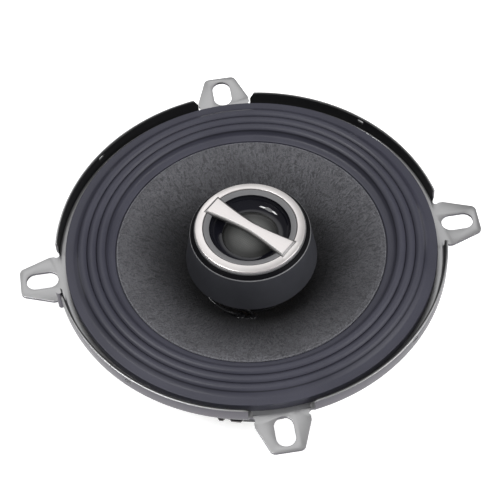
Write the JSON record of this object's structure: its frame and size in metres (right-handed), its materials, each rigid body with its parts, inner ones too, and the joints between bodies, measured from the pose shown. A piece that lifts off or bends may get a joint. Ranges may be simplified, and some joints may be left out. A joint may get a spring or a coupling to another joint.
{
  "type": "coaxial car speaker",
  "caption": "Round coaxial car speaker: slotted-ear steel basket, paper cone on a rolled rubber surround, and a domed tweeter in a pod with a ring and a bow-tie bar on a post at the centre.",
  "frame": {"origin": "centre of the mounting plane, which is the rear face of the ears and the flange", "axes": "+Z along the cone's axis towards the listener, +X and +Y through the slotted ears; the terminals lie near -Y"},
  "size_m": [0.1584, 0.1584, 0.0675],
  "materials": {
    "coated_steel": "satin grey metallic coat on pressed steel",
    "surround_rubber": "matt moulded rubber",
    "cone_pulp": "pressed paper pulp with a wrinkled face",
    "former_paper": "brown kraft wound on itself",
    "copper_wire": "enamelled copper winding",
    "spider_cloth": "resin-dipped woven cloth",
    "zinc_plated_steel": "bright zinc plate",
    "ferrite": "ground ferrite",
    "black_plastic": "fine moulded texture",
    "nickel_plate": "nickel plate",
    "gloss_black": "polished black",
    "grey_plastic": "satin grey",
    "satin_aluminium": "fine satin, slightly warm",
    "dome_fabric": "coated fine cloth",
    "terminal_fibre": "pressed fibre board",
    "tinned_brass": "tinned",
    "tinsel_braid": "braided copper tinsel",
    "black_insulation": "smooth insulation",
    "capacitor_sleeve": "shrunk sleeve"
  },
  "bodies": {
    "frame": {"basket": "coated_steel", "surround": "surround_rubber", "spider": "spider_cloth", "front_plate": "zinc_plated_steel", "front_plate_rivets": "zinc_plated_steel", "magnet": "ferrite", "yoke": "zinc_plated_steel", "tweeter_post": "black_plastic", "post_screw": "zinc_plated_steel", "pod_housing": "black_plastic", "pod_screws": "zinc_plated_steel", "tweeter_pot": "zinc_plated_steel", "tweeter_magnet": "nickel_plate", "tweeter_pole_disc": "zinc_plated_steel", "diaphragm_ring": "black_plastic", "dome_edge": "dome_fabric", "waveguide": "gloss_black", "bezel": "grey_plastic", "trim_ring": "satin_aluminium", "diffuser_bar": "satin_aluminium", "terminal_board": "terminal_fibre", "positive_terminal": "tinned_brass", "negative_terminal": "tinned_brass", "terminal_rivets": "tinned_brass", "tinsel_leads": "tinsel_braid", "tweeter_leads": "black_insulation", "crossover_capacitor": "capacitor_sleeve", "capacitor_leads": "tinned_brass"},
    "woofer_cone": {"cone": "cone_pulp", "voice_coil_former": "former_paper", "voice_coil_winding": "copper_wire", "lead_eyelets": "tinned_brass"},
    "tweeter_diaphragm": {"tweeter_dome": "dome_fabric", "tweeter_coil": "copper_wire"}
  },
  "joints": [
    {"name": "cone_slide", "type": "slide", "parent": "frame", "child": "woofer_cone", "axis": [0, 0, 1], "range_m": [-0.004, 0.004], "stiffness_N_per_m": 1640, "deforming": ["surround", "spider", "tinsel_leads", "tweeter_leads"]},
    {"name": "dome_slide", "type": "slide", "parent": "frame", "child": "tweeter_diaphragm", "axis": [0, 0, 1], "range_m": [-0.00025, 0.00025], "stiffness_N_per_m": 200, "deforming": ["dome_edge"]}
  ]
}
